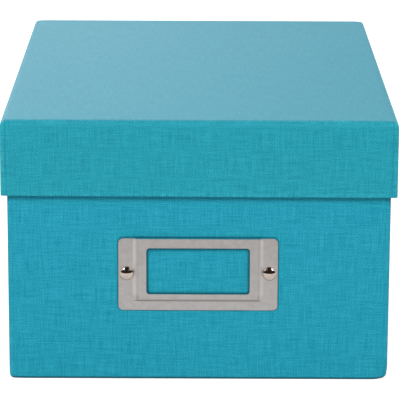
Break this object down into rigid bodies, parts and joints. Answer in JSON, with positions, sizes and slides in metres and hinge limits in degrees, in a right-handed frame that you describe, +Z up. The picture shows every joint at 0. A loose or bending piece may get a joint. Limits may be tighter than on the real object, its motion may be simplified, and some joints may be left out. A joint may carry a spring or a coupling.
{
  "type": "photo storage box",
  "caption": "Cloth-covered board storage box for photo prints, with a lift-off lid, a metal label holder on the front and tabbed index cards inside.",
  "frame": {"origin": "on the floor, under the middle of the box", "axes": "+Z up; +Y from the front face with the label holder to the back, along the box's length; +X to the right as seen from the front"},
  "size_m": [0.194, 0.2802, 0.133],
  "materials": {
    "linen_cloth": "linen weave, satin",
    "greyboard": "raw",
    "stay_tape": "matt kraft",
    "lining_paper": "matt",
    "satin_nickel": "satin nickel plate",
    "polished_nickel": "polished nickel plate",
    "brad_steel": "plated",
    "index_card": "smooth card"
  },
  "bodies": {
    "base": {"base_board": "greyboard", "base_corner_stays": "stay_tape", "base_wrap": "linen_cloth", "base_lining": "lining_paper", "label_holder": "satin_nickel", "brad_caps": "polished_nickel", "brad_prongs": "brad_steel"},
    "lid": {"lid_board": "greyboard", "lid_corner_stays": "stay_tape", "lid_wrap": "linen_cloth", "lid_lining": "lining_paper"},
    "index_card_1": {"index_card_1": "index_card"},
    "index_card_2": {"index_card_2": "index_card"},
    "index_card_3": {"index_card_3": "index_card"},
    "index_card_4": {"index_card_4": "index_card"},
    "index_card_5": {"index_card_5": "index_card"},
    "index_card_6": {"index_card_6": "index_card"}
  },
  "joints": [
    {"name": "lid_lift", "type": "slide", "parent": "base", "child": "lid", "axis": [0, 0, 1], "range_m": [0, 0.16]},
    {"name": "index_card_1_tip", "type": "hinge", "parent": "base", "child": "index_card_1", "pos_m": [0, 0.08719, 0.0023], "axis": [1, 0, 0], "range_deg": [0, 70]},
    {"name": "index_card_2_tip", "type": "hinge", "parent": "base", "child": "index_card_2", "pos_m": [0, 0.0932, 0.0023], "axis": [1, 0, 0], "range_deg": [0, 61.6]},
    {"name": "index_card_3_tip", "type": "hinge", "parent": "base", "child": "index_card_3", "pos_m": [0, 0.0992, 0.0023], "axis": [1, 0, 0], "range_deg": [0, 53.2]},
    {"name": "index_card_4_tip", "type": "hinge", "parent": "base", "child": "index_card_4", "pos_m": [0, 0.10519, 0.0023], "axis": [1, 0, 0], "range_deg": [0, 44.8]},
    {"name": "index_card_5_tip", "type": "hinge", "parent": "base", "child": "index_card_5", "pos_m": [0, 0.1112, 0.0023], "axis": [1, 0, 0], "range_deg": [0, 36.4]},
    {"name": "index_card_6_tip", "type": "hinge", "parent": "base", "child": "index_card_6", "pos_m": [0, 0.11719, 0.0023], "axis": [1, 0, 0], "range_deg": [0, 28]}
  ],
  "couplings": [
    {"joint": "index_card_2_tip", "follows": "index_card_1_tip", "ratio": 0.88},
    {"joint": "index_card_3_tip", "follows": "index_card_1_tip", "ratio": 0.76},
    {"joint": "index_card_4_tip", "follows": "index_card_1_tip", "ratio": 0.64},
    {"joint": "index_card_5_tip", "follows": "index_card_1_tip", "ratio": 0.52},
    {"joint": "index_card_6_tip", "follows": "index_card_1_tip", "ratio": 0.4}
  ]
}
